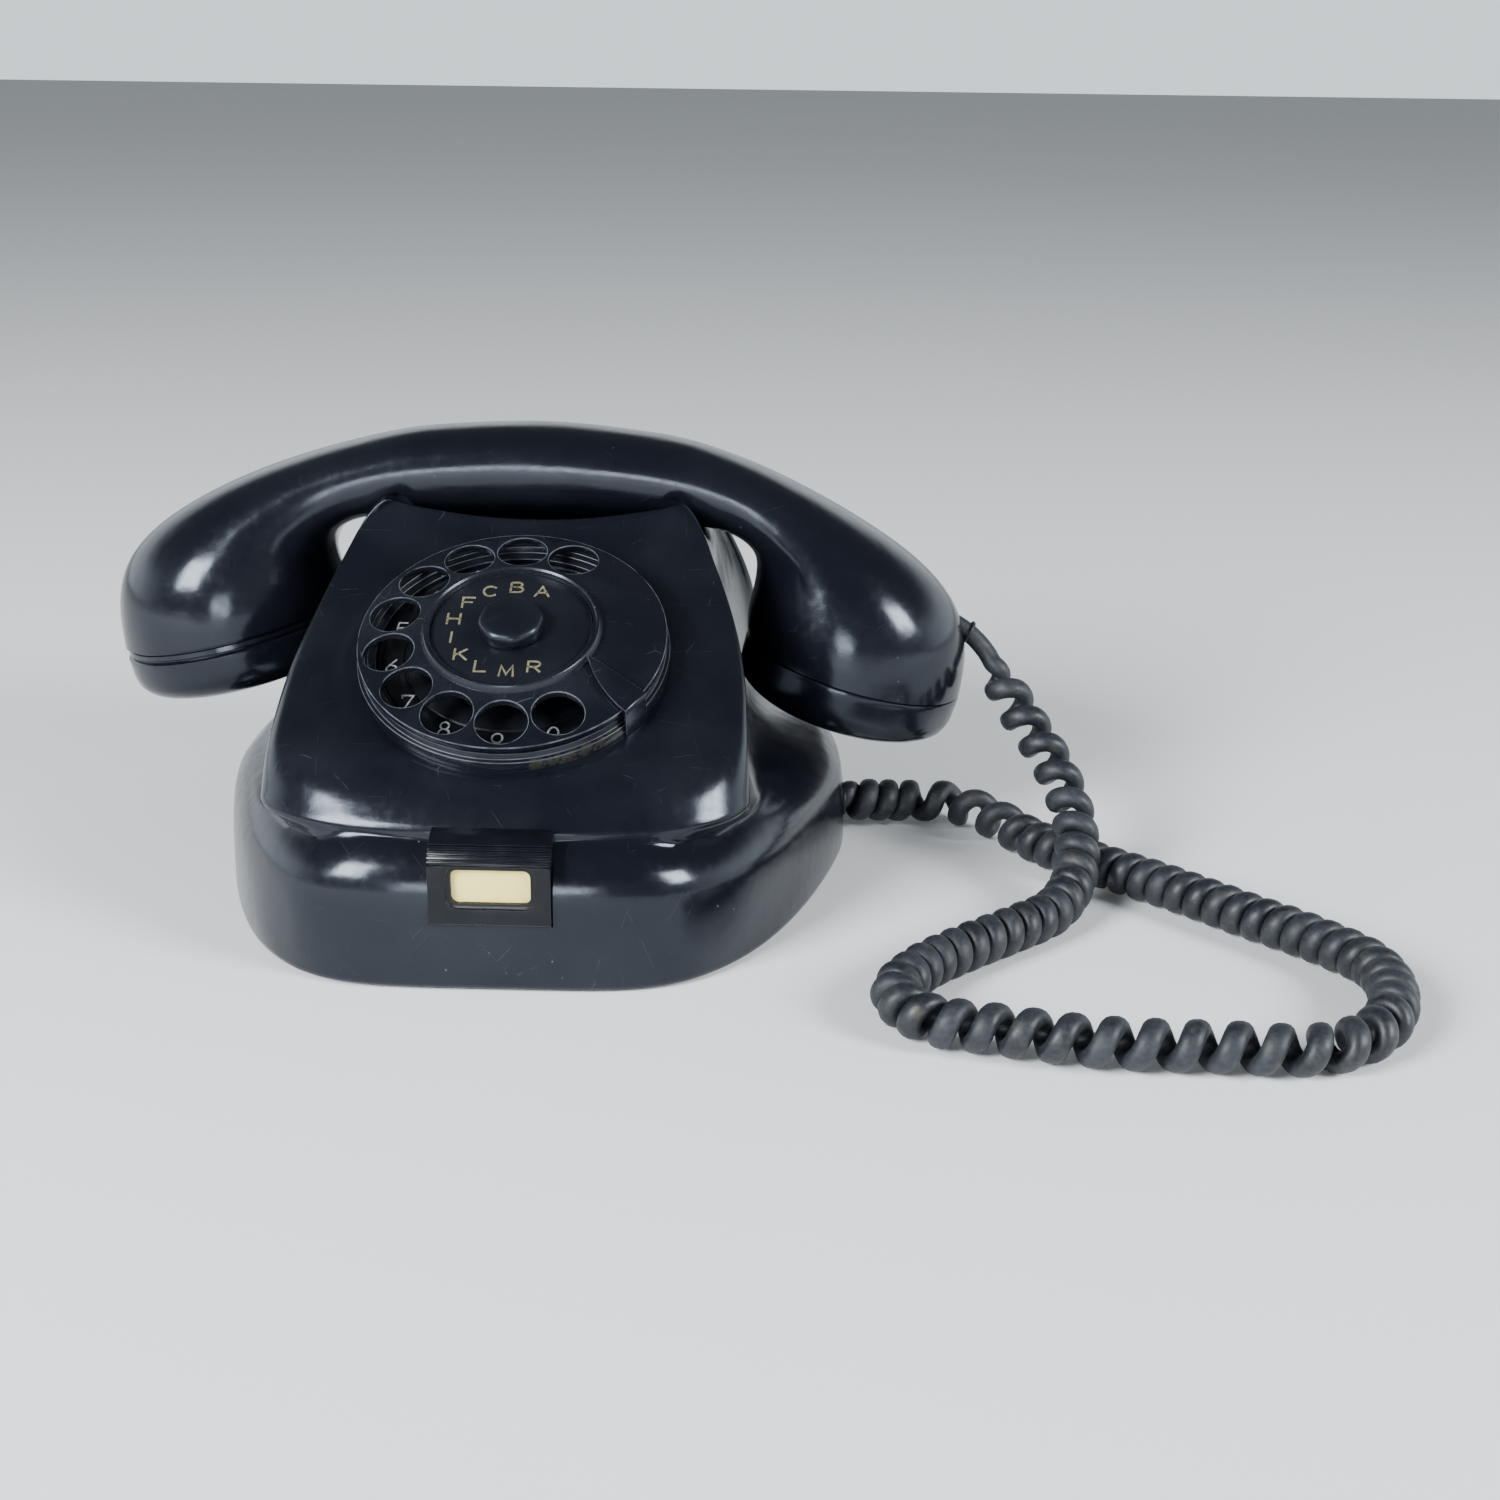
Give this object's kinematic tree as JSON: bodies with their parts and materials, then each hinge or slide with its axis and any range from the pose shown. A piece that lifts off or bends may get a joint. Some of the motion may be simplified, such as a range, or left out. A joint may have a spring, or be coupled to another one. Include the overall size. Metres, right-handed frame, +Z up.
{
  "type": "rotary telephone",
  "caption": "Glossy black rotary desk telephone: tapered casing with dial, number card, handset lying in its cradle, and a curly cord looping over the table.",
  "frame": {"origin": "centre of the footprint, on the surface that the telephone stands on", "axes": "+Z up; the dial and the number card face -Y; +X to the viewer's right, where the handset cord is"},
  "size_m": [0.3419, 0.2058, 0.1154],
  "materials": {
    "bakelite": "glossy, with fine scratches and dust",
    "inner_plastic": "satin",
    "rubber": "matt",
    "steel": "brushed",
    "brass": "satin",
    "card": "matt paper",
    "window": "clear",
    "winding": "enamelled wire",
    "fibre": "matt"
  },
  "bodies": {
    "telephone": {"housing": "bakelite", "base_plate": "steel", "base_screw_front_left": "steel", "base_screw_front_right": "steel", "base_screw_rear_left": "steel", "base_screw_rear_right": "steel", "foot_front_left": "rubber", "foot_front_right": "rubber", "foot_rear_left": "rubber", "foot_rear_right": "rubber", "card_holder": "inner_plastic", "number_card": "card", "card_window": "window", "handset_cord_bush": "rubber", "line_cord_inlet": "rubber", "dial_ring": "bakelite", "number_plate": "inner_plastic", "dial_chassis": "steel", "governor_cup": "steel", "pulse_contacts": "brass", "return_spring": "steel", "finger_stop": "bakelite", "handset_cord": "rubber", "hook_bracket": "steel", "hook_pin": "steel", "switch_springs": "brass", "gong_left": "brass", "gong_right": "brass", "ringer_frame": "steel", "gong_nut_left": "brass", "gong_nut_right": "brass", "ringer_coils": "winding", "induction_coil": "winding", "capacitor": "steel", "terminal_strip": "fibre"},
    "dial": {"finger_wheel": "bakelite", "letter_disc": "inner_plastic", "hub_cap": "bakelite", "dial_shaft": "steel", "drive_gear": "brass"},
    "pulse_train": {"pinion": "brass", "pulse_shaft": "steel", "pulse_cam": "fibre", "worm_wheel": "brass"},
    "governor": {"governor": "brass"},
    "handset": {"handset_shell": "bakelite", "ear_cap": "bakelite", "mouth_cap": "bakelite", "receiver_capsule": "steel", "transmitter_capsule": "steel", "handset_cord_grommet": "rubber"},
    "plungers": {"plunger_left": "bakelite", "plunger_right": "bakelite", "hook_bar": "steel"},
    "hook_lever": {"hook_lever": "steel"},
    "clapper": {"clapper": "steel"}
  },
  "joints": [
    {"name": "dial_spin", "type": "hinge", "parent": "telephone", "child": "dial", "pos_m": [0, -0.0277, 0.0673], "axis": [0, 0.454, -0.891], "range_deg": [0, 318], "stiffness_Nm_per_rad": 0.01, "springref_deg": -68.75},
    {"name": "pulse_spin", "type": "hinge", "parent": "telephone", "child": "pulse_train", "pos_m": [0, -0.05479, 0.0535], "axis": [0, 0.454, -0.891], "range_deg": [-1192.5, 0]},
    {"name": "governor_spin", "type": "hinge", "parent": "telephone", "child": "governor", "pos_m": [0, -0.03647, 0.0387], "axis": [1, 0, 0], "range_deg": [0, 3816]},
    {"name": "handset_lift", "type": "slide", "parent": "telephone", "child": "handset", "axis": [0, 0, 1], "range_m": [0, 0.12]},
    {"name": "plunger_lift", "type": "slide", "parent": "telephone", "child": "plungers", "axis": [0, 0, 1], "range_m": [0, 0.006]},
    {"name": "hook_lever_swing", "type": "hinge", "parent": "telephone", "child": "hook_lever", "pos_m": [0, 0.015, 0.066], "axis": [1, 0, 0], "range_deg": [0, 15.7]},
    {"name": "clapper_swing", "type": "hinge", "parent": "telephone", "child": "clapper", "pos_m": [0, 0.0345, 0.0124], "axis": [0, 1, 0], "range_deg": [-8, 8], "stiffness_Nm_per_rad": 0.002}
  ],
  "couplings": [
    {"joint": "pulse_spin", "follows": "dial_spin", "ratio": -3.75},
    {"joint": "governor_spin", "follows": "dial_spin", "ratio": 12},
    {"joint": "plunger_lift", "follows": "handset_lift", "ratio": 0.05},
    {"joint": "hook_lever_swing", "follows": "handset_lift", "rad_per_m": 2.27}
  ]
}
